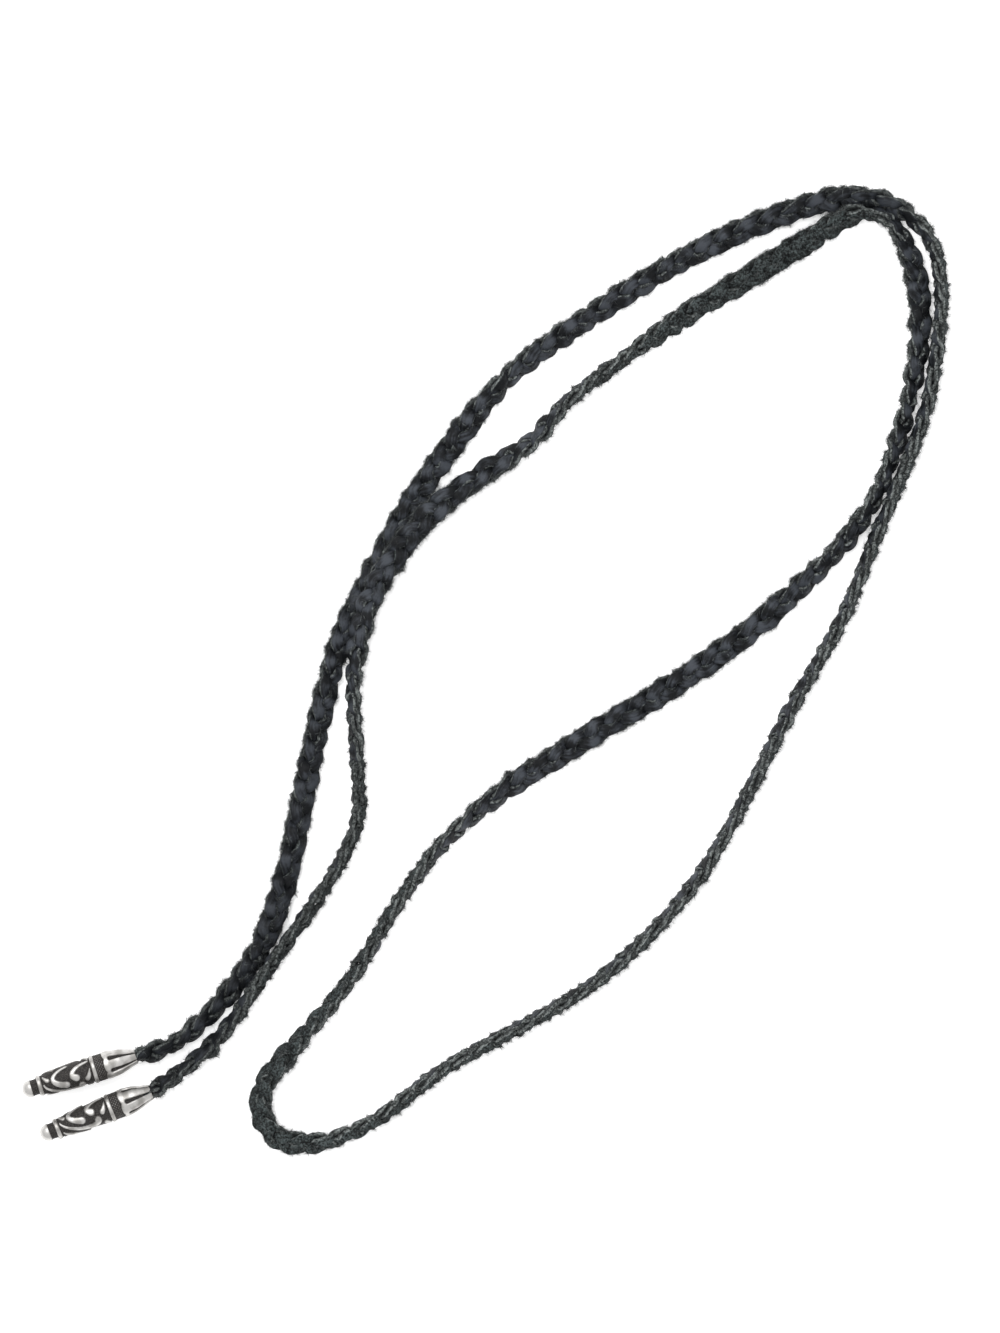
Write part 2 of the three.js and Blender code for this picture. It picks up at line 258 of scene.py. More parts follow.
@dataclass(frozen=True)
class Leather:
    """Dyed black leather: smooth on its grain side, matt and fuzzy on its flesh side and cut edges."""

    name: str = "dyed_leather"
    grain: Side = Side(
        (0.0032, 0.0040, 0.0052, 1.0), (0.0500, 0.0560, 0.0670, 1.0),
        (0.35, 0.65, 0.2, 0.0), (0.56, 0.94),
    )
    flesh: Side = Side(
        (0.0066, 0.0076, 0.0075, 1.0), (0.0840, 0.1010, 0.1020, 1.0),
        (0.2, 0.2, 0.6, 0.2), (0.52, 0.73),
    )
    edge: Side = Side(
        (0.0200, 0.0225, 0.0220, 1.0), (0.2600, 0.2820, 0.2770, 1.0),
        (0.2, 0.2, 0.8, 0.1), (0.53, 0.78),
    )
    lace_shade: float = 0.25
    # Painted shade: the share of the tone left where a lace sinks into the braid.
    hidden_tone: float = 0.2
    clouds: Noise = Noise(420.0)
    wrinkles: Noise = Noise(1100.0, 4.0, 1.2)
    patches: Noise = Noise(1600.0, 3.0, 0.8)
    nap: Noise = Noise(2230.0, 3.0, 0.6)
    hairs: Noise = Noise(3400.0, 4.0, 1.8)
    grain_part: Limits = (0.3, 0.75)
    edge_part: Limits = (0.35, 0.95)
    pore_cells: float = 4200.0
    streak_waves: float = 2.0
    ragged_edge: float = 1.1
    grain_roughness: float = 0.56
    flesh_roughness: float = 0.92
    cloudy_roughness: float = 0.12
    bump_depth: float = 0.0001
    specular: float = 0.18

    def make(self) -> Material:
        """Makes the finish.

        Returns:
            The material.
        """
        material, board = new_board(self.name)
        clouds, wrinkles = board.noise(*self.clouds), board.noise(*self.wrinkles)
        patches, nap = board.noise(*self.patches), board.noise(*self.nap)
        hairs, streaks = board.noise(*self.hairs), board.streaks(self.streak_waves)
        pores = board.cells(self.pore_cells)
        noises = (clouds, streaks, nap, hairs)
        grain_side = board.between(board.mark(Mark.GRAIN), *self.grain_part)
        # The cut edges' own pale colour, weakened by painted shade on covered edges and raised by
        # painted light on upturned ones.
        ragged = board.mark(Mark.EDGE) + (patches - 0.5) * self.ragged_edge
        edge_side = board.between(ragged, *self.edge_part)
        # Painted shade in the braid's hollows lowers each side's tone.
        shown = blend(self.hidden_tone, 1.0, board.mark(Mark.OPEN))
        shade = board.mark(Mark.SHADE) * self.lace_shade
        grain_colour = self.grain.colour(board, noises, shade, shown)
        flesh_colour = self.flesh.colour(board, noises, 0.0, shown)
        edge_colour = self.edge.colour(board, noises, 0.0, shown)
        sides = board.mix(grain_side, flesh_colour, grain_colour)
        smooth = grain_side * (1 - edge_side)
        roughness = blend(self.flesh_roughness, self.grain_roughness, smooth)
        grain_height = pores * 0.5 + clouds * 0.6 + wrinkles * 1.2 + streaks
        rough_height = hairs * 1.2 + nap * 2.0 + streaks * 0.7
        height = blend(rough_height, grain_height, smooth)
        board.surface({
            "Base Color": board.mix(edge_side, sides, edge_colour),
            "Roughness": roughness + (clouds - 0.5) * self.cloudy_roughness,
            "Normal": board.bump(height, self.bump_depth),
            "Specular IOR Level": self.specular,
        })
        return material


@dataclass(frozen=True)
class Hair:
    """Loose leather fibres, each of its own tone between dark and pale."""

    name: str = "leather_fibres"
    dark: Colour = (0.0070, 0.0090, 0.0095, 1.0)
    pale: Colour = (0.3000, 0.3220, 0.3200, 1.0)
    patches: Noise = Noise(700.0)
    pale_part: Limits = (0.3, 0.75)
    faintest: float = 0.35
    contrast: float = 1.4
    roughness: float = 0.85
    specular: float = 0.2

    def make(self) -> Material:
        """Makes the finish.

        Returns:
            The material.
        """
        material, board = new_board(self.name)
        patches = board.between(board.noise(*self.patches), *self.pale_part)
        tone = board.mark(Mark.SHADE) * blend(self.faintest, 1.0, patches)
        board.surface({
            "Base Color": board.mix(tone ** self.contrast, self.dark, self.pale),
            "Roughness": self.roughness,
            "Specular IOR Level": self.specular,
        })
        return material


@dataclass(frozen=True)
class OxidisedSilver:
    """Cast silver: bright and softly polished where it stands out, blackened in its recesses."""

    name: str = "blackened_silver"
    bright: Colour = (0.53, 0.52, 0.505, 1.0)
    dull: Colour = (0.33, 0.32, 0.305, 1.0)
    black: Colour = (0.012, 0.011, 0.0105, 1.0)
    smoke: Colour = (0.085, 0.079, 0.074, 1.0)
    patches: Noise = Noise(1500.0, 5.0, 0.4)
    fumes: Noise = Noise(6500.0, 4.0)
    grains: Noise = Noise(7000.0)
    smoky_part: Limits = (0.4, 0.75)
    high_part: Limits = (0.22, 0.85)
    rubbed_part: Limits = (0.2, 0.8)
    patchy_height: float = 0.28
    patchy_rub: float = 0.9
    bright_roughness: float = 0.42
    black_roughness: float = 0.6
    grainy_roughness: float = 0.14
    bump_depth: float = 0.00003
    specular: float = 0.15

    def make(self) -> Material:
        """Makes the finish.

        Returns:
            The material.
        """
        material, board = new_board(self.name)
        patches, grains = board.noise(*self.patches), board.noise(*self.grains)
        high = board.mark(Mark.HIGH) + (patches - 0.5) * self.patchy_height
        high = board.between(high, *self.high_part)
        smoky = board.between(board.noise(*self.fumes), *self.smoky_part)
        brightened = board.mark(Mark.RUB) + (patches - 0.5) * self.patchy_rub
        brightened = board.between(brightened, *self.rubbed_part)
        silver = board.mix(brightened, self.dull, self.bright)
        roughness = blend(self.black_roughness, self.bright_roughness, high)
        board.surface({
            "Base Color": board.mix(high, board.mix(smoky, self.black, self.smoke), silver),
            "Metallic": high,
            "Roughness": roughness + (grains - 0.5) * self.grainy_roughness,
            "Normal": board.bump(patches * 0.7 + grains * 0.5, self.bump_depth, 0.7),
            "Specular IOR Level": self.specular,
        })
        return material


@dataclass(frozen=True)
class PaleTable:
    """A plain white surface to lie on, with a faint glow of its own."""

    name: str = "white_table"
    white: Colour = (0.93, 0.93, 0.93, 1.0)
    off_white: Colour = (0.90, 0.90, 0.90, 1.0)
    glow_colour: Colour = (1.0, 1.0, 1.0, 1.0)
    glow: float = 0.5
    patches: Noise = Noise(6.0, 2.0)
    roughness: float = 0.8
    specular: float = 0.1

    def make(self) -> Material:
        """Makes the finish.

        Returns:
            The material.
        """
        material, board = new_board(self.name)
        tone = board.noise(*self.patches)
        board.surface({
            "Base Color": board.mix(tone, self.white, self.off_white),
            "Roughness": self.roughness,
            "Specular IOR Level": self.specular,
            "Emission Color": self.glow_colour,
            "Emission Strength": self.glow,
        })
        return material


class Lay(NamedTuple):
    """One row of the cord's route: place, roll in degrees, lift above rest and paleness of the nap."""

    x: float
    y: float
    roll: float
    lift: float = 0.0
    pale: float = 1.0


OUTER_LEFT_RUN = (
    Lay(-60.9, -73.9, 58, 0.1), Lay(-47.0, -59.0, 30), Lay(-41.1, -46.0, 8), Lay(-33.1, -10.1, 30),
    Lay(-28.7, 6.0, 25), Lay(-22.9, 17.9, 10), Lay(-14.3, 33.9, 8), Lay(-6.0, 45.7, 16),
    Lay(3.9, 57.8, 42), Lay(19.7, 69.8, 32), Lay(47.1, 85.9, 24), Lay(71.0, 94.3, 25, 0.8, pale=0.8),
    Lay(79.0, 93.7, 42, 0.6, pale=0.6), Lay(85.2, 90.4, 68, pale=0.65),
)
OUTER_RIGHT_RUN = (
    Lay(89.2, 85.6, 82, pale=0.85), Lay(91.1, 77.0, 85), Lay(88.6, 54.0, 85), Lay(77.9, 26.1, 84),
    Lay(71.3, 10.1, 80), Lay(62.2, -5.9, 78), Lay(42.4, -41.8, 82), Lay(22.8, -61.8, 88),
    Lay(-8.9, -80.2, 98, pale=1.1), Lay(-20.9, -89.3, 105, pale=1.35), Lay(-29.0, -93.4, 116, pale=1.6),
    Lay(-36.0, -94.6, 139, pale=1.6), Lay(-41.9, -93.3, 152, pale=1.15),
    Lay(-44.9, -88.0, 151, pale=0.9),
)
INNER_RIGHT_RUN = (
    Lay(-43.9, -82.7, 142, pale=0.9), Lay(-37.0, -74.1, 122, pale=0.85),
    Lay(-27.0, -62.0, 110, pale=0.85), Lay(-17.0, -46.0, 95, pale=0.9), Lay(-7.7, -33.9, 78),
    Lay(4.8, -23.4, 35), Lay(19.0, -14.4, 4), Lay(47.0, 3.2, 12), Lay(63.0, 16.6, 30),
    Lay(72.9, 26.9, 58), Lay(79.7, 38.0, 66), Lay(86.7, 64.0, 48), Lay(86.6, 76.0, 16),
    Lay(84.1, 84.8, 42), Lay(80.6, 90.2, 77),
)
INNER_LEFT_RUN = (
    Lay(75.4, 91.3, 116), Lay(70.3, 89.6, 150), Lay(63.4, 85.05, 168), Lay(39.2, 70.3, 145),
    Lay(27.1, 61.8, 103), Lay(16.9, 54.1, 86, pale=0.88), Lay(9.2, 45.7, 58), Lay(-0.9, 38.9, 20, 0.5),
    Lay(-9.9, 32.1, 5, 2.4), Lay(-17.5, 23.3, 5, 3.3), Lay(-22.6, 14.7, 10, 3.3),
    Lay(-25.2, 6.3, 42, 2.6), Lay(-26.3, -4.0, 72, 0.6), Lay(-25.6, -18.0, 85, pale=0.85),
    Lay(-25.3, -29.0, 95, pale=0.8), Lay(-28.6, -37.8, 95, pale=0.85), Lay(-43.4, -59.8, 100),
    Lay(-49.3, -68.4, 80), Lay(-55.3, -75.6, 65), Lay(-62.2, -81.2, 62, 0.2),
)


def smooth_step(value: Array, low: float, high: float) -> Array:
    """A smooth rise from 0 at a low value to 1 at a high one, or a fall where high is below low."""
    part = np.clip((value - low) / (high - low), 0.0, 1.0)
    return part * part * (3.0 - 2.0 * part)


def blend(first: Any, second: Any, share: Any) -> Any:
    """A number, array or wire at a share of the way from one value to another."""
    return first + (second - first) * share


def unit(vectors: Array) -> Array:
    """The vectors, each made one unit long."""
    return vectors / np.linalg.norm(vectors, axis=-1, keepdims=True)


WANDER_STRETCHES = (0.55, 1.0, 1.7)


@dataclass(frozen=True)
class Wander:
    """A slow, seeded wander along a length, made of a few waves, for what is made by hand."""

    seed: int
    reach: float
    wave: float

    def at(self, along: Array) -> Array:
        """Adds the wander's waves up.

        Args:
            along: The places along the length.

        Returns:
            The wander at each place.
        """
        rng = np.random.default_rng(self.seed)
        total = np.zeros_like(along)
        for stretch in WANDER_STRETCHES:
            phase = rng.uniform(0.0, 2.0 * math.pi)
            total += np.sin(2.0 * math.pi * along / (self.wave * stretch) + phase)
        return total * self.reach / len(WANDER_STRETCHES)


class Drift(NamedTuple):
    """A wander that each lace has its own of: its number among them, its reach and its wave."""

    number: int
    reach: float
    wave: float


@dataclass(frozen=True)
class TipPlace:
    """Where a tip lies: its mouth's middle, the way the mouth faces and the turn about its axis."""

    node: str
    mouth_x: float
    mouth_y: float
    heading: float
    turn: float

    def ahead(self) -> Array:
        """The way that the mouth faces."""
        angle = math.radians(self.heading)
        return np.array([math.cos(angle), math.sin(angle), 0.0])


UPPER_TIP = TipPlace("silver_tip_upper", -69.7, -77.2, 17.0, 30.0)
LOWER_TIP = TipPlace("silver_tip_lower", -66.7, -84.3, 21.5, 0.0)
TIP_RADIUS = 2.9
TIP_SIDES = 24
TIP_HEIGHT = TIP_RADIUS * math.cos(math.pi / TIP_SIDES)
BRAID_INSERT = 4.0


@dataclass
class BraidFrames:
    """The braid's own axes at places along the cord, and each place's growth and paleness."""

    along: Array
    share: Array
    middle: Array
    across: Array
    through: Array
    grown: Array
    from_end: Array
    pale: Array


@dataclass
class CordRoute:
    """The middle line of the cord from one tip to the other, and how the braid rolls along it.

    The sizes of the laces are those of the solids, so that the braid lies as high as they do.
    """

    lace_swing: float = 1.72
    lace_weave: float = 0.77
    lace_half_width: float = 0.71
    lace_half_thickness: float = 0.57
    end_roll: float = 65.0
    skived_length: float = 1.4
    samples: int = 60
    sag: float = 0.1
    roll_wander: Wander = Wander(11, 12.0, 21.0)
    rows: list[Lay] = field(init=False)
    row_share: Array = field(init=False)
    points: Array = field(init=False)
    distance: Array = field(init=False)
    length: float = field(init=False)

    def __post_init__(self) -> None:
        """Lays the route's rows out and measures them."""
        runs = OUTER_LEFT_RUN + OUTER_RIGHT_RUN + INNER_RIGHT_RUN + INNER_LEFT_RUN
        start, end = self._socket_rows(UPPER_TIP), self._socket_rows(LOWER_TIP)[::-1]
        self.rows = start + list(runs) + end
        places = np.array([(row.x, row.y) for row in self.rows])
        self.row_share, self.points = self._curve(places)
        steps = np.linalg.norm(np.diff(self.points, axis=0), axis=1)
        self.distance = np.concatenate([[0.0], np.cumsum(steps)])
        self.length = float(self.distance[-1])

    def _socket_rows(self, tip: TipPlace) -> list[Lay]:
        """Lays rows deep in a tip's socket and at its mouth.

        Args:
            tip: Where the tip lies.

        Returns:
            The rows, from the deep one outwards.
        """
        ahead = tip.ahead()
        lift = TIP_HEIGHT - float(self.rest_height(np.array(self.end_roll)))
        return [
            Lay(tip.mouth_x - ahead[0] * depth, tip.mouth_y - ahead[1] * depth, self.end_roll, lift)
            for depth in (BRAID_INSERT, 0.0)
        ]

    def _curve(self, places: Array) -> tuple[Array, Array]:
        """Draws a centripetal curve through the rows' places.

        Args:
            places: The rows' places on the surface.

        Returns:
            The place among the rows, and the point, of each sample of the curve.
        """
        padded = np.vstack([2 * places[0] - places[1], places, 2 * places[-1] - places[-2]])
        part = np.arange(self.samples)[:, None] / self.samples
        shares, points = [], []
        for index in range(len(places) - 1):
            before, first, last, after = padded[index:index + 4]
            pairs = ((before, first), (first, last), (last, after))
            gaps = [np.linalg.norm(end - start) ** 0.5 for start, end in pairs]
            leave = (first - before) / gaps[0] - (last - before) / (gaps[0] + gaps[1])
            leave = (leave + (last - first) / gaps[1]) * gaps[1]
            arrive = (last - first) / gaps[1] - (after - first) / (gaps[1] + gaps[2])
            arrive = (arrive + (after - last) / gaps[2]) * gaps[1]
            square = 3.0 * (last - first) - 2.0 * leave - arrive
            cube = 2.0 * (first - last) + leave + arrive
            points.append(first + leave * part + square * part**2 + cube * part**3)
            shares.append(index + part[:, 0])
        points.append(places[-1:])
        shares.append(np.array([len(places) - 1.0]))
        return np.concatenate(shares), np.vstack(points)

    def rest_height(self, roll: Array) -> Array:
        """Finds how high the braid's middle is when the braid lies on the surface.

        Args:
            roll: The roll in degrees.

        Returns:
            The height at each roll.
        """
        sine, cosine = np.abs(np.sin(np.radians(roll))), np.abs(np.cos(np.radians(roll)))
        swing, weave = self.lace_swing * sine, self.lace_weave * cosine
        reach = np.maximum(0.5 * swing + weave, swing)
        return reach + np.maximum(self.lace_half_width * sine, self.lace_half_thickness * cosine)

    def frames(self, share: Array) -> BraidFrames:
        """The braid's own axes along the cord.

        Args:
            share: Places along the cord, from 0 at one end to 1 at the other.

        Returns:
            The axes at each place.
        """
        along = share * self.length
        row_place = np.interp(along, self.distance, self.row_share)
        row = np.minimum(row_place.astype(int), len(self.rows) - 2)
        part = row_place - row
        values = np.array([(lay.roll, lay.lift, lay.pale) for lay in self.rows])
        eased = np.stack([part, smooth_step(part, 0.0, 1.0), part], axis=1)
        roll, lift, pale = blend(values[row], values[row + 1], eased).T
        middle = np.zeros((len(share), 3))
        for axis in (0, 1):
            middle[:, axis] = np.interp(along, self.distance, self.points[:, axis])
        middle[:, 2] = self.rest_height(roll) + lift + self.sag
        ahead = np.gradient(middle, along, axis=0)
        ahead[:, 2] = 0.0
        ahead = unit(ahead)
        left = np.stack([-ahead[:, 1], ahead[:, 0], np.zeros(len(share))], axis=1)
        up = np.array([0.0, 0.0, 1.0])
        from_end = np.minimum(along, self.length - along)
        grown = smooth_step(from_end, BRAID_INSERT, BRAID_INSERT + self.skived_length)
        angle = np.radians(roll + self.roll_wander.at(along) * grown)[:, None]
        across = left * np.cos(angle) + up * np.sin(angle)
        through = up * np.cos(angle) - left * np.sin(angle)
        return BraidFrames(along, share, middle, across, through, grown, from_end, pale)


def grid_object(name: str, points: Array) -> Piece:
    """Makes a mesh from rings of points that follow each other, closed at both ends.

    Args:
        name: The piece's name.
        points: The points in millimetres, by ring and by place in the ring.

    Returns:
        The new object.
    """
    rings, around = points.shape[:2]
    ring, place = np.meshgrid(np.arange(rings - 1), np.arange(around), indexing="ij")
    following = (place + 1) % around
    quads = np.stack([
        ring * around + place, ring * around + following,
        (ring + 1) * around + following, (ring + 1) * around + place,
    ], axis=-1).reshape(-1, 4)
    faces = quads.tolist()
    faces.append(list(range(around))[::-1])
    faces.append(list(range((rings - 1) * around, rings * around)))
    mesh = bpy.data.meshes.new(name)
    mesh.from_pydata((points.reshape(-1, 3) * MM).tolist(), [], faces)
    return finished_object(name, mesh)


def finished_object(name: str, mesh: bpy.types.Mesh) -> Piece:
    """Puts a mesh in the scene as a smoothly shaded object.

    Args:
        name: The piece's name.
        mesh: The piece's mesh.

    Returns:
        The new object.
    """
    mesh.polygons.foreach_set("use_smooth", np.ones(len(mesh.polygons), dtype=bool))
    mesh.update()
    piece = bpy.data.objects.new(name, mesh)
    bpy.context.scene.collection.objects.link(piece)
    return piece


def edit_all(piece: Piece) -> None:
    """Opens a piece alone in edit mode, with all of it selected.

    Args:
        piece: The piece.
    """
    bpy.ops.object.select_all(action="DESELECT")
    piece.select_set(True)
    bpy.context.view_layer.objects.active = piece
    bpy.ops.object.mode_set(mode="EDIT")
    bpy.ops.mesh.select_all(action="SELECT")


def face_outward() -> None:
    """Points the faces of the piece in edit mode outwards, and leaves that mode."""
    bpy.ops.mesh.normals_make_consistent(inside=False)
    bpy.ops.object.mode_set(mode="OBJECT")


def keep_mark(piece: Piece, mark: Mark, values: Array) -> None:
    """Keeps a value on each point of a piece's mesh for its finish."""
    layer = piece.data.attributes.new(mark.value, "FLOAT", "POINT")
    layer.data.foreach_set("value", np.ascontiguousarray(values, dtype=np.float32).ravel())


def keep_run(piece: Piece, places: Array) -> None:
    """Keeps a place in the lace's own coordinates on each point of a piece's mesh for its finish."""
    layer = piece.data.attributes.new(Mark.RUN.value, "FLOAT_VECTOR", "POINT")
    layer.data.foreach_set("vector", np.ascontiguousarray(places, dtype=np.float32).ravel())


def dress(piece: Piece, material: Material, nodes: tuple[str, ...]) -> None:
    """Gives a piece its finish and its place in the frame.

    Args:
        piece: The piece.
        material: Its finish.
        nodes: The solids that the piece stands for.
    """
    piece.data.materials.append(material)
    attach(piece, BODY)
    if nodes:
        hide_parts(*nodes)
    LOG.info("%s: %d faces", piece.name, len(piece.data.polygons))


@dataclass
class Lace:
    """One flat leather lace of the braid, with its grain side on one face of the braid all the way."""

    name: str
    solid: str
    order: int
    route: CordRoute
    repeats: int = 72
    steps_per_repeat: int = 32
    first_phase: float = 30.0
    phase_between: float = 120.0
    swing: float = 1.24
    swing_fullness: float = 0.12
    weave: float = 0.7
    weave_fullness: float = 0.1
    lean: float = 22.0
    width: float = 2.4
    thickness: float = 1.22
    squareness: float = 3.6
    section_points: int = 20
    skived_swing: float = 0.48
    skived_width: float = 0.58
    skived_thickness: float = 0.9
    floor_softness: float = 0.3
    lump_seed: int = 700
    flesh_lumps: float = 0.26
    grain_lumps: float = 0.03
    lumpy_part: Limits = (0.7, -0.1)
    grain_part: Limits = (0.2, 0.8)
    rim_part: Limits = (0.86, 0.98)
    outer_part: Limits = (0.2, 0.9)
    upper_part: Limits = (-0.6, 0.3)
    crown_part: Limits = (1.0, 0.5)
    shaded_covered_edge: float = 0.46
    side_edge: float = 0.82
    rim_shade: float = 0.55
    mid_shade: float = 0.5
    dark_end: float = 16.0
    darker_end_length: float = 150.0
    end_tone: float = 0.42
    streak_stretch: float = 0.22
    streaks_apart: float = 50.0
    seeds_apart: int = 100
    braid_wander: Wander = Wander(77, 0.7, 60.0)
    phase_drift: Drift = Drift(0, 0.2, 10.0)
    swing_drift: Drift = Drift(1, 0.26, 9.0)
    weave_drift: Drift = Drift(2, 0.12, 11.0)
    lean_drift: Drift = Drift(3, 16.0, 7.0)
    width_drift: Drift = Drift(4, 0.2, 5.0)
    thickness_drift: Drift = Drift(5, 0.08, 3.7)
    shade_drift: Drift = Drift(6, 1.1, 4.6)
    frames: BraidFrames = field(init=False)
    across: Array = field(init=False)
    through: Array = field(init=False)
    points: Array = field(init=False)

    def __post_init__(self) -> None:
        """Works out the lace's rings, its rounded section in shares of half its size, and its points."""
        self.frames = self.route.frames(np.linspace(0.0, 1.0, self.repeats * self.steps_per_repeat + 1))
        angle = 2.0 * math.pi * (np.arange(self.section_points) + 0.5) / self.section_points
        power = 2.0 / self.squareness
        self.across = np.sign(np.cos(angle)) * np.abs(np.cos(angle)) ** power
        self.through = np.sign(np.sin(angle)) * np.abs(np.sin(angle)) ** power
        self.points = self.build()

    def drift(self, drift: Drift) -> Array:
        """One of the lace's own wanders at each ring."""
        seed = self.seeds_apart * (self.order + 1) + drift.number
        return Wander(seed, drift.reach, drift.wave).at(self.frames.along)

    def phase(self) -> Array:
        """Finds how far the lace is through its repeats.

        Returns:
            The phase at each ring, in radians.
        """
        start = math.radians(self.first_phase + self.phase_between * self.order)
        phase = start + 2.0 * math.pi * self.repeats * self.frames.share
        return phase + self.braid_wander.at(self.frames.along) + self.drift(self.phase_drift)

    def middle_line(self) -> tuple[Array, Array]:
        """Weaves the lace's middle line through the braid.

        Returns:
            The line's points, and the lean of the lace at each in radians.
        """
        frames, phase = self.frames, self.phase()
        swing = self.swing + self.drift(self.swing_drift)
        weave = self.weave + self.drift(self.weave_drift)
        wave = (np.sin(phase) + self.swing_fullness * np.sin(3.0 * phase)) / (1.0 - self.swing_fullness)
        sideways = swing * wave * blend(self.skived_swing, 1.0, frames.grown)
        rise = np.sin(2.0 * phase) + self.weave_fullness * np.sin(6.0 * phase)
        upward = weave * rise / (1.0 - self.weave_fullness)
        upward = upward * blend(self.skived_thickness, 1.0, frames.grown)
        lean = np.radians(self.lean + self.drift(self.lean_drift)) * np.cos(3.0 * phase)
        points = frames.middle + frames.across * sideways[:, None] + frames.through * upward[:, None]
        return points, lean

    def build(self) -> Array:
        """Sweeps the section along the middle line, and presses it on the surface.

        Returns:
            The points of the lace, by ring and by place in the ring.
        """
        frames = self.frames
        line, lean = self.middle_line()
        ahead = unit(np.gradient(line, axis=0))
        wide = frames.across * np.cos(lean)[:, None] + frames.through * np.sin(lean)[:, None]
        wide = unit(wide - ahead * np.sum(wide * ahead, axis=1, keepdims=True))
        thick = np.cross(ahead, wide)
        half_width = self.width / 2 + self.drift(self.width_drift)
        half_width = half_width * blend(self.skived_width, 1.0, frames.grown)
        half_thickness = self.thickness / 2 + self.drift(self.thickness_drift)
        half_thickness = half_thickness * blend(self.skived_thickness, 1.0, frames.grown)
        points = line[:, None] + wide[:, None] * (half_width[:, None] * self.across)[:, :, None]
        points = points + thick[:, None] * (half_thickness[:, None] * self.through)[:, :, None]
        points = points + self.lumps()[:, :, None] * unit(points - line[:, None])
        low = points[:, :, 2] < self.floor_softness
        pressed = self.floor_softness * np.exp(points[:, :, 2] / self.floor_softness - 1.0)
        points[:, :, 2] = np.where(low, pressed, points[:, :, 2])
        return points

    def lumps(self) -> Array:
        """Roughens the surface, the flesh side more than the grain side.

        Returns:
            How far each point stands out or in.
        """
        rng = np.random.default_rng(self.lump_seed + self.order)
        rough = rng.normal(0.0, 1.0, (len(self.frames.along), self.section_points))
        for axis in (0, 1):
            rough = (2.0 * rough + (np.roll(rough, -1, axis) + np.roll(rough, 1, axis))) / 4.0
        fleshy = smooth_step(self.through, *self.lumpy_part)
        return rough * blend(self.grain_lumps, self.flesh_lumps, fleshy)

    def make(self, finish: Material) -> None:
        """Makes the lace's piece.

        Args:
            finish: The lace's leather.
        """
        piece = grid_object(self.name, self.points)
        frames, rim, phase = self.frames, np.abs(self.across), self.phase()[:, None]
        # Painted light and shade on the cut edges: fainter where crossing laces cover them, paler at the
        # braid's sides and where the braid lies on edge.
        outer = smooth_step(np.sin(phase) * self.across, *self.outer_part)
        covered = blend(self.shaded_covered_edge, self.side_edge, outer)
        brightened = blend(covered, 1.0, np.abs(frames.across[:, 2])[:, None])
        shade = self.mid_shade + self.drift(self.shade_drift)
        shade = shade * smooth_step(frames.from_end, 0.0, self.dark_end)
        # Partly painted shade: each lace is darker towards its rims, where its rounded section turns
        # from the light; partly dirt on the rims.
        crown = blend(self.rim_shade, 1.0, smooth_step(rim, *self.crown_part))
        # Darker over a long stretch towards both ends of the cord.
        away_from_end = smooth_step(frames.from_end, 0.0, self.darker_end_length)
        end_tone_share = blend(self.end_tone, 1.0, away_from_end) * frames.pale
        # Painted shade: each face of a lace is darker where it sinks under the others into the braid's
        # hollows.
        shown = smooth_step(np.sin(2.0 * phase) * self.through, *self.upper_part)
        run = np.empty(self.points.shape)
        run[:, :, 0] = frames.along[:, None] * self.streak_stretch + self.streaks_apart * self.order
        run[:, :, 1] = self.across * self.width / 2
        run[:, :, 2] = self.through * self.thickness / 2
        keep_run(piece, run)
        keep_mark(piece, Mark.OPEN, shown * end_tone_share[:, None])
        keep_mark(piece, Mark.GRAIN, np.tile(smooth_step(self.through, *self.grain_part), len(run)))
        keep_mark(piece, Mark.EDGE, brightened * smooth_step(rim, *self.rim_part))
        keep_mark(piece, Mark.SHADE, shade[:, None] * crown)
        dress(piece, finish, (self.solid + "_outer", self.solid + "_inner"))


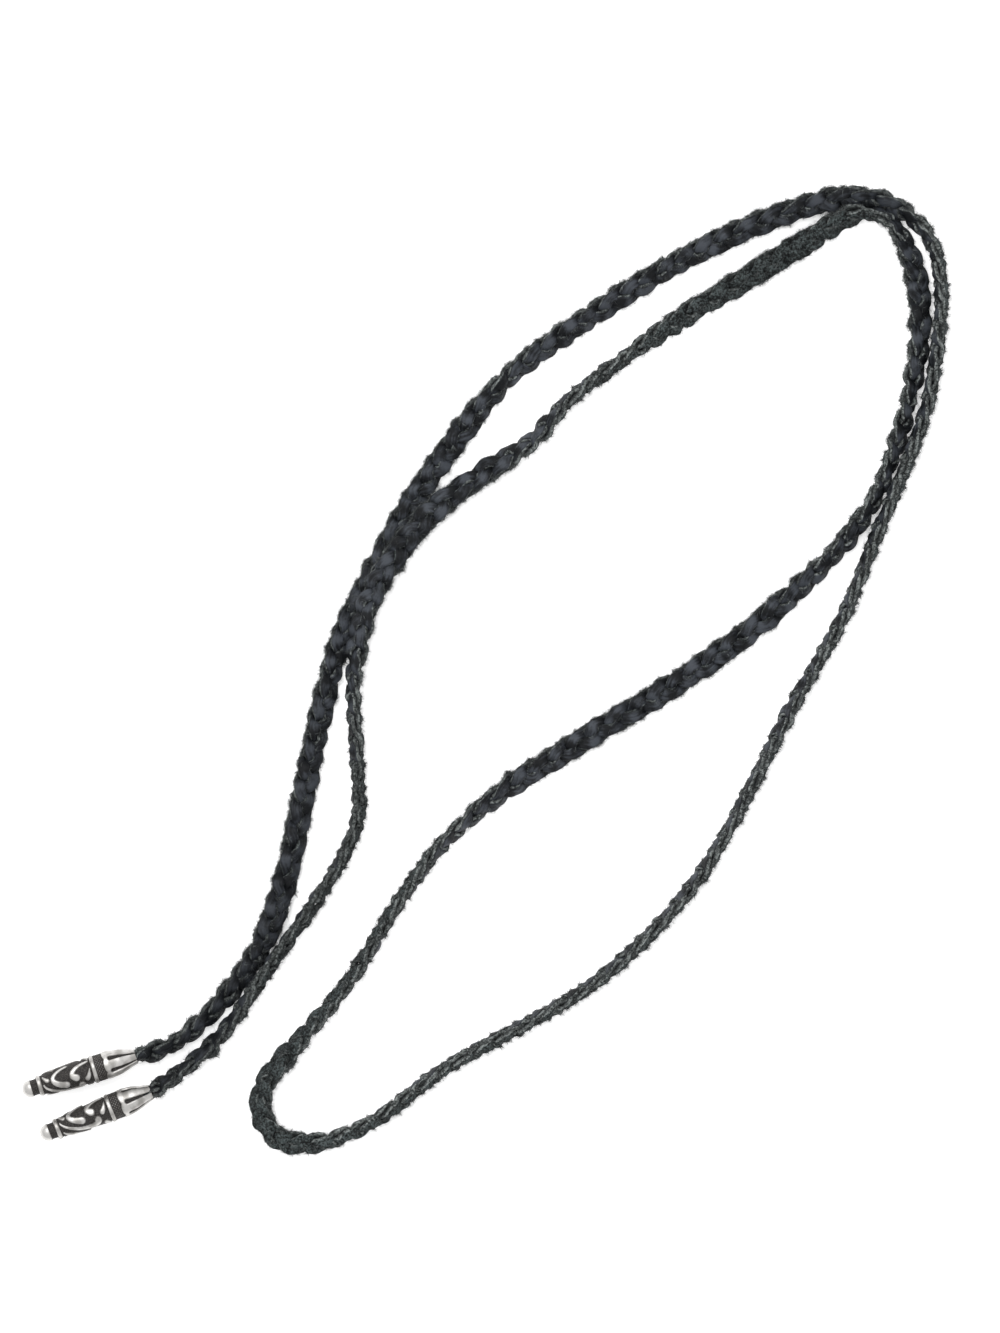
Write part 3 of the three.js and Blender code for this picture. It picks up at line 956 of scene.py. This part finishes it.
@dataclass
class Fuzz:
    """Short loose fibres on the flesh side and the cut edges of one lace."""

    name: str
    seed: int
    count: int = 45000
    shortest: float = 0.3
    longest: float = 1.65
    shortness: float = 1.6
    finest: float = 0.03
    coarsest: float = 0.07
    root_depth: float = 0.04
    sides: int = 3
    any_way: tuple[float, float, float] = (0.31, 0.52, 0.79)
    lowest: float = 0.06
    clumping: float = 1.2
    clump_rings: float = 7.0
    tuft: int = 6
    tuft_spread: float = 0.2
    tuft_length: float = 0.8
    tuft_tone: float = 0.6
    tuft_leans: tuple[float, ...] = (0.8, 1.3, 2.2)
    clear_of_end: float = 0.0046
    braid_half_width: float = 2.3
    braid_half_thickness: float = 1.4
    outer_part: Limits = (0.6, 1.0)
    upper_part: Limits = (-1.0, 0.0)
    flesh_part: Limits = (0.75, 0.2)
    edge_part: Limits = (0.9, 0.5)
    grain_share: float = 0.12
    edge_share: float = 1.2
    under_share: float = 0.2
    top_share: float = 0.35

    def density(self, lace: Lace) -> Array:
        """How thickly fibres grow, most on the outside of the braid and least on the grain side.

        Args:
            lace: The lace that the fibres grow on.

        Returns:
            The share of all fibres at each point.
        """
        frames, through, rings = lace.frames, lace.through, len(lace.points)
        offset = lace.points - frames.middle[:, None]
        sideways = np.sum(offset * frames.across[:, None], axis=2) / self.braid_half_width
        upward = np.sum(offset * frames.through[:, None], axis=2) / self.braid_half_thickness
        edge = smooth_step(np.abs(through), *self.edge_part)
        side = self.grain_share + smooth_step(through, *self.flesh_part) + self.edge_share * edge
        wander = Wander(self.seed + 2, self.clumping, self.clump_rings)
        clumps = np.exp(wander.at(np.arange(rings, dtype=float)))
        clumps[:int(rings * self.clear_of_end)] = 0.0
        clumps[int(rings * (1 - self.clear_of_end)):] = 0.0
        outside = smooth_step(np.hypot(sideways, upward), *self.outer_part)
        above = blend(self.under_share, 1.0, smooth_step(offset[:, :, 2], *self.upper_part))
        flank = np.linalg.norm(offset[:, :, :2], axis=2) / np.linalg.norm(offset, axis=2)
        weight = clumps[:, None] * side * outside * above * (self.top_share + flank**2)
        return weight / weight.sum()

    def spread(self, lace: Lace) -> tuple[Array, Array, Array]:
        """Spreads the fibres over the lace in small tufts.

        Args:
            lace: The lace that the fibres grow on.

        Returns:
            The middle of each fibre's root, the fibre's reach from there, and the fibre's tone.
        """
        rng = np.random.default_rng(self.seed)
        tufts = self.count // self.tuft
        of_tuft = np.repeat(np.arange(tufts), self.tuft)
        density = self.density(lace)
        chosen = rng.choice(density.size, tufts, p=density.ravel())
        ring, place = np.unravel_index(chosen, density.shape)
        ring, place = ring[of_tuft], place[of_tuft]
        lean = rng.normal(0.0, 1.0, (2, tufts, 1)) * rng.choice(self.tuft_leans, (tufts, 1))
        following = (place + 1) % lace.section_points
        part = rng.random((2, len(ring), 1))
        corner = lace.points[ring, place]
        around = lace.points[ring, following] - corner
        ahead = lace.points[ring + 1, place] - corner
        root = corner + around * part[0] + unit(ahead) * (part[1] - 0.5) * self.tuft_length
        outward = unit(np.cross(unit(around), unit(ahead)))
        lie = lean[:, of_tuft] + rng.normal(0.0, self.tuft_spread, (2, len(ring), 1))
        size = blend(self.shortest, self.longest, rng.random((len(ring), 1)) ** self.shortness)
        reach = unit(outward + lie[0] * unit(ahead) + lie[1] * unit(around)) * size
        tone = self.tuft_tone * rng.random(tufts)[of_tuft]
        tone = tone + (1 - self.tuft_tone) * rng.random(len(ring))
        root = root - outward * self.root_depth
        clear = np.minimum(root[:, 2], (root + reach)[:, 2]) > self.lowest
        return root[clear], reach[clear], tone[clear]

    def make(self, lace: Lace, finish: Material) -> None:
        """Makes the fibres' piece, each fibre a closed spike.

        Args:
            lace: The lace that the fibres grow on.
            finish: The fibres' finish.
        """
        root, reach, tone = self.spread(lace)
        side = unit(np.cross(reach, np.array(self.any_way)))
        other = np.cross(unit(reach), side)
        turns = 2.0 * math.pi * np.arange(self.sides) / self.sides
        rng = np.random.default_rng(self.seed + 1)
        half = rng.uniform(self.finest, self.coarsest, (len(root), 1)) / 2
        ringed = [root + (side * math.cos(turn) + other * math.sin(turn)) * half for turn in turns]
        fibres = np.stack(ringed + [root + reach], axis=1)
        each = self.sides + 1
        faces = [tuple(range(self.sides))[::-1]]
        faces += [(place, (place + 1) % self.sides, self.sides) for place in range(self.sides)]
        starts = range(0, len(fibres) * each, each)
        joined = [tuple(start + corner for corner in face) for start in starts for face in faces]
        mesh = bpy.data.meshes.new(self.name)
        mesh.from_pydata((fibres.reshape(-1, 3) * MM).tolist(), [], joined)
        piece = finished_object(self.name, mesh)
        keep_mark(piece, Mark.SHADE, np.repeat(tone, each))
        dress(piece, finish, ())


class Outline(NamedTuple):
    """One corner of a tip's outline: place along its axis and radius."""

    along: float
    radius: float


class Scroll(NamedTuple):
    """A raised scroll: its head's width, and a cubic curve from tail to head in degrees and along."""

    width: float
    tail: tuple[float, float]
    bend: tuple[float, float]
    pull: tuple[float, float]
    head: tuple[float, float]


TIP_OUTLINE = tuple(Outline(*corner) for corner in (
    (0.0, 0.0), (0.06, 0.45), (0.25, 0.9), (0.55, 1.28), (0.95, 1.55), (1.45, 1.72), (1.9, 1.76),
    (2.05, 1.6), (3.2, 1.6), (3.35, 2.1), (4.0, 2.1), (4.15, 1.9), (6.6, 2.14), (9.0, 2.32),
    (11.8, 2.43), (14.5, 2.46), (14.65, 2.88), (15.25, 2.88), (15.4, 2.68), (17.0, 2.68), (17.15, 2.8),
    (18.2, 2.84), (20.4, 2.52), (22.3, 1.95), (23.8, 1.52),
))
SOCKET_OUTLINE = tuple(Outline(*corner) for corner in (
    (0.02, 1.43), (-0.04, 1.32), (-1.5, 1.3), (-3.5, 1.3), (-4.9, 1.3), (-5.0, 0.78), (-5.0, 0.0),
))
SCROLLS = (
    Scroll(1.5, (-88, 9.8), (-66, 5.4), (-16, 5.8), (6, 8.9)),
    Scroll(1.45, (-78, 14.2), (-66, 10.8), (-34, 9.6), (-16, 11.2)),
    Scroll(1.4, (-24, 4.5), (34, 4.9), (86, 11.8), (30, 12.0)),
    Scroll(1.0, (-70, 4.6), (-62, 4.8), (-54, 5.0), (-44, 5.4)),
    Scroll(1.05, (-40, 14.3), (-28, 14.0), (-14, 14.0), (2, 13.3)),
    Scroll(1.0, (36, 4.6), (50, 5.0), (60, 5.6), (72, 6.8)),
    Scroll(0.95, (92, 14.2), (80, 14.2), (70, 14.0), (60, 13.4)),
)


@dataclass
class Tip:
    """One cast silver end tip: dome, groove, rings, scrolled barrel, sunk band and petalled collar."""

    name: str
    place: TipPlace
    length: float = 23.8
    socket_radius: float = 1.45
    socket_depth: float = 5.05
    spacing: float = 0.12
    rounding: float = 0.1
    turns: int = 168
    joined_within: float = 0.0005
    scroll_repeats: int = 2
    unrolled_radius: float = 2.3
    relief: float = 0.3
    relief_fade: float = 0.3
    flat_share: float = 0.55
    flat_part: Limits = (1.15, 0.75)
    bright_part: Limits = (1.5, 0.3)
    scroll_tail_share: float = 0.25
    scroll_samples: int = 150
    petals: int = 6
    slot_head: float = 18.6
    slot_tail: float = 24.4
    slot_width: float = 0.85
    slot_tail_share: float = 0.5
    slot_depth: float = 0.45
    slot_part: Limits = (1.2, 0.6)
    petal_start: float = 0.05
    petal_rise: float = 1.4
    petal_power: float = 2.2
    petal_foot: float = 0.22
    groove_start: float = 1.97
    groove_end: float = 3.36
    groove_radius: float = 1.95
    groove_tone: float = 0.12
    barrel_start: float = 4.15
    barrel_end: float = 14.5
    rings: tuple[tuple[float, float, float], ...] = ((3.2, 4.15, 1.93), (14.5, 15.4, 2.7))
    ring_edge: float = 0.12
    band_start: float = 15.4
    band_end: float = 17.0
    band_radius: float = 2.68
    band_dots: int = 26
    band_rows: float = 10.5
    band_depth: float = 0.05
    band_tone: float = 0.2
    band_contrast: float = 0.32
    wobble: float = 0.018
    wobble_start: float = 1.5
    bright_dome: Limits = (2.2, 1.6)

    def outline(self) -> Array:
        """Draws the tip's rounded outline, and the inside of its socket from the mouth down.

        Returns:
            The places along the axis and the radii, from the dome to the bottom of the socket.
        """
        corners = np.array(TIP_OUTLINE)
        steps = np.concatenate([[0.0], np.cumsum(np.linalg.norm(np.diff(corners, axis=0), axis=1))])
        even = np.linspace(0.0, steps[-1], int(steps[-1] / self.spacing) + 1)
        dense = np.stack([np.interp(even, steps, corners[:, axis]) for axis in (0, 1)], axis=1)
        reach = max(1, round(3 * self.rounding / self.spacing))
        weights = np.exp(-0.5 * (np.arange(-reach, reach + 1) * self.spacing / self.rounding) ** 2)
        weights = weights / weights.sum()
        padded = np.vstack([np.repeat(dense[:1], reach, 0), dense, np.repeat(dense[-1:], reach, 0)])
        soft = np.stack([np.convolve(padded[:, axis], weights, "valid") for axis in (0, 1)], axis=1)
        soft[0] = (0.0, 0.0)
        inside = np.array(SOCKET_OUTLINE) + (self.length, 0.0)
        return np.vstack([soft, inside])

    def spun(self) -> Piece:
        """Turns the outline about the tip's axis and closes its seam.

        Returns:
            The new object.
        """
        outline = self.outline()
        mesh = bpy.data.meshes.new(self.name)
        edges = [(index, index + 1) for index in range(len(outline) - 1)]
        mesh.from_pydata([(radius, 0.0, along) for along, radius in outline.tolist()], edges, [])
        piece = bpy.data.objects.new(self.name, mesh)
        bpy.context.scene.collection.objects.link(piece)
        edit_all(piece)
        bpy.ops.mesh.spin(steps=self.turns, angle=2.0 * math.pi, center=(0, 0, 0), axis=(0, 0, 1))
        bpy.ops.mesh.select_all(action="SELECT")
        bpy.ops.mesh.remove_doubles(threshold=self.joined_within)
        face_outward()
        bpy.ops.object.shade_smooth()
        return piece

    def scroll_edge(self, angle: Array, along: Array) -> Array:
        """How far off the scrollwork is, from 0 on a scroll's middle line to 1 on its edge.

        Args:
            angle: Turns about the axis, in radians.
            along: Places along the axis.

        Returns:
            The distance to the nearest scroll at each place, as a share of half its width there.
        """
        share = np.linspace(0.0, 1.0, self.scroll_samples)
        rest = 1 - share
        basis = np.stack([rest**3, 3 * share * rest**2, 3 * share**2 * rest, share**3], axis=1)
        nearest = np.full_like(along, math.inf)
        for scroll in SCROLLS:
            curve = basis @ np.array([scroll.tail, scroll.bend, scroll.pull, scroll.head])
            half = 0.5 * scroll.width * blend(self.scroll_tail_share, 1.0, share)
            for repeat in range(self.scroll_repeats):
                turn = math.radians(self.place.turn) + 2.0 * math.pi * repeat / self.scroll_repeats
                gap = angle[:, None] - (np.radians(curve[:, 0]) + turn)
                gap = (gap + np.pi) % (2.0 * np.pi) - np.pi
                reach = np.hypot(gap * self.unrolled_radius, along[:, None] - curve[:, 1]) / half
                nearest = np.minimum(nearest, np.min(reach, axis=1))
        return nearest

    def slot_share(self, angle: Array, along: Array) -> Array:
        """How deep the slots between the petals are, from 0 on a petal to 1 in a slot.

        Args:
            angle: Turns about the axis, in radians.
            along: Places along the axis.

        Returns:
            The share of the slots' depth at each place.
        """
        pitch = 2.0 * math.pi / self.petals
        gap = (angle - math.radians(self.place.turn) + pitch / 2) % pitch - pitch / 2
        share = np.clip((along - self.slot_head) / (self.slot_tail - self.slot_head), 0.0, 1.0)
        half = 0.5 * self.slot_width * blend(1.0, self.slot_tail_share, share)
        past = np.maximum(self.slot_head - along, 0.0) + np.maximum(along - self.slot_tail, 0.0)
        return smooth_step(np.hypot(gap * self.unrolled_radius, past) / half, *self.slot_part)

    def petal_base(self, angle: Array) -> Array:
        """Finds where the rounded foot of the petals starts.

        Args:
            angle: Turns about the axis, in radians.

        Returns:
            The start along the axis at each turn.
        """
        pitch = 2.0 * math.pi / self.petals
        gap = (angle - math.radians(self.place.turn)) % pitch / pitch - 0.5
        return self.band_end + self.petal_start + self.petal_rise * np.abs(gap) ** self.petal_power

    def shape(self, piece: Piece) -> None:
        """Raises the scrolls, cuts the slots, roughens the band and puts the tip in its place.

        Args:
            piece: The tip's piece, straight from the spin.
        """
        mesh = piece.data
        flat = np.empty(len(mesh.vertices) * 3, dtype=np.float32)
        mesh.vertices.foreach_get("co", flat)
        local = flat.reshape(-1, 3).astype(float)
        along, radius = local[:, 2], np.hypot(local[:, 0], local[:, 1])
        angle = np.arctan2(local[:, 1], local[:, 0])
        socket = (radius < self.socket_radius) & (along > self.length - self.socket_depth)
        grow = np.zeros_like(radius)
        high = np.ones_like(radius)
        barrel = (along > self.barrel_start) & (along < self.barrel_end)
        edge = self.scroll_edge(angle[barrel], along[barrel])
        fade = smooth_step(along[barrel], self.barrel_start, self.barrel_start + self.relief_fade)
        fade = fade * smooth_step(along[barrel], self.barrel_end, self.barrel_end - self.relief_fade)
        crest = np.sqrt(np.clip(1.0 - edge**2, 0.0, 1.0))
        level = smooth_step(edge, *self.flat_part)
        grow[barrel] += self.relief * fade * blend(crest, level, self.flat_share)
        high[barrel] = smooth_step(edge, *self.bright_part) * fade
        collar = (along >= self.band_end - 0.1) & ~socket
        slots = self.slot_share(angle[collar], along[collar])
        foot = smooth_step(along[collar] - self.petal_base(angle[collar]), 0.0, self.petal_foot)
        grow[collar] -= self.slot_depth * slots
        grow[collar] -= (1 - foot) * np.clip(radius[collar] - self.band_radius, 0.0, 1.0)
        high[collar] = foot * (1 - slots)
        band = (along > self.band_start) & (along < self.band_end)
        pits = np.cos(angle * self.band_dots) * np.cos((along - self.band_start) * self.band_rows)
        grow[band] += self.band_depth * pits[band]
        high[band] = self.band_tone + self.band_contrast * pits[band]
        groove = (along > self.groove_start) & (along < self.groove_end) & (radius < self.groove_radius)
        high[groove] = self.groove_tone
        for start, end, low in self.rings:
            ring = (along > start) & (along < end)
            high[ring] = smooth_step(radius[ring], low, low + self.ring_edge)
        high[socket] = 0.0
        seed = 1.0 + self.place.turn
        wobble = np.sin(angle * 2.0 + along * 0.9 + seed)
        wobble = wobble + np.sin(angle * 3.0 - along * 1.7 + 2.0 * seed)
        grow += np.where(socket, 0.0, self.wobble * wobble * smooth_step(along, 0.0, self.wobble_start))
        rub = 0.55 + 0.25 * np.sin(angle * 3.0 + along * 1.3 + seed) + 0.2 * np.sin(along * 2.9 - angle)
        rub = np.maximum(rub, smooth_step(along, *self.bright_dome))
        self._place(mesh, along, angle, np.where(radius > 1e-6, radius + grow, radius))
        keep_mark(piece, Mark.HIGH, np.clip(high, 0.0, 1.0))
        keep_mark(piece, Mark.RUB, np.clip(rub, 0.0, 1.0))

    def _place(self, mesh: bpy.types.Mesh, along: Array, angle: Array, radius: Array) -> None:
        """Lays the tip's points down at its mouth and heading, on the surface.

        Args:
            mesh: The tip's mesh.
            along: Each point's place along the axis.
            angle: Each point's turn about the axis, in radians.
            radius: Each point's radius.
        """
        ahead = self.place.ahead()
        beside = np.array([ahead[1], -ahead[0], 0.0])
        mouth = np.array([self.place.mouth_x, self.place.mouth_y, TIP_HEIGHT])
        points = mouth + ahead * (along - self.length)[:, None]
        points = points + beside * (radius * np.sin(angle))[:, None]
        points[:, 2] += radius * np.cos(angle)
        points[:, 2] = np.maximum(points[:, 2], 0.0)
        mesh.vertices.foreach_set("co", np.ascontiguousarray(points * MM, dtype=np.float32).ravel())
        mesh.update()

    def make(self, finish: Material) -> None:
        """Makes the tip's piece.

        Args:
            finish: The tip's silver.
        """
        piece = self.spun()
        self.shape(piece)
        edit_all(piece)
        face_outward()
        dress(piece, finish, (self.place.node,))


@dataclass
class Studio:
    """The white table, the soft light over it and the camera straight above."""

    view_x: float = 3.0
    view_y: float = 0.7
    view_tall: float = 266.6
    camera_height: float = 4000.0
    table_size: float = 6.0
    sky_high: float = 1.04
    sky_low: float = 0.75
    sky_rise: float = 0.85
    lamp_place: tuple[float, float, float] = (-0.3, 0.45, 0.9)
    lamp_size: float = 0.7
    lamp_power: float = 6.0
    clip_end: float = 10.0

    def table(self) -> None:
        """Lays the table under the necklace."""
        bpy.ops.object.select_all(action="DESELECT")
        bpy.ops.mesh.primitive_plane_add(size=self.table_size, location=(0.0, 0.0, 0.0))
        table = bpy.context.active_object
        table.name = "table"
        table.data.materials.append(PaleTable().make())

    def sky(self) -> None:
        """Makes the soft white room, paler overhead than at the sides."""
        world = bpy.data.worlds.new("white_room")
        bpy.context.scene.world = world
        world.use_nodes = True
        board = Board(world.node_tree)
        direction = board.out(board.node("ShaderNodeTexCoord"), "Generated")
        parts = board.node("ShaderNodeSeparateXYZ", None, {"Vector": direction})
        rise = board.between(board.out(parts, "Z"), 0.0, self.sky_rise)
        strength = blend(self.sky_low, self.sky_high, rise)
        room = board.node("ShaderNodeBackground", None, {"Color": (1, 1, 1, 1), "Strength": strength})
        board.node("ShaderNodeOutputWorld", None, {"Surface": board.out(room)})

    def lamp(self) -> None:
        """Hangs one soft lamp that looks at the necklace."""
        bpy.ops.object.light_add(type="AREA", location=self.lamp_place)
        lamp = bpy.context.active_object
        lamp.name = "soft_lamp"
        lamp.data.size = self.lamp_size
        lamp.data.energy = self.lamp_power
        across, back, up = self.lamp_place
        lamp.rotation_euler = (math.atan2(math.hypot(across, back), up), 0.0, math.atan2(across, -back))

    def camera(self) -> None:
        """Sets the camera straight above, framed as the photograph is."""
        place = (self.view_x * MM, self.view_y * MM, self.camera_height * MM)
        bpy.ops.object.camera_add(location=place)
        camera = bpy.context.active_object
        camera.rotation_euler = (0.0, 0.0, 0.0)
        camera.data.sensor_fit = "VERTICAL"
        camera.data.angle = 2.0 * math.atan(0.5 * self.view_tall / self.camera_height)
        camera.data.clip_end = self.clip_end
        bpy.context.scene.camera = camera

    def make(self) -> None:
        """Makes the whole studio."""
        self.camera()
        self.table()
        self.sky()
        self.lamp()
        bpy.context.scene.view_settings.view_transform = "Standard"


FUZZ_SEED = 40


def main() -> None:
    """Builds the studio, the laces with their fibres and the tips."""
    logging.basicConfig(level=logging.INFO)
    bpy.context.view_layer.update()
    Studio().make()
    route = CordRoute()
    LOG.info("cord: %.1f mm between the sockets' ends", route.length)
    leather, hair, silver = Leather().make(), Hair().make(), OxidisedSilver().make()
    for order, letter in enumerate("abc"):
        lace = Lace("lace_" + letter, "leather_lace_" + letter, order, route)
        lace.make(leather)
        Fuzz(lace.name + "_fibres", FUZZ_SEED + order).make(lace, hair)
    Tip("end_tip_upper", UPPER_TIP).make(silver)
    Tip("end_tip_lower", LOWER_TIP).make(silver)


if __name__ == "__main__":
    main()
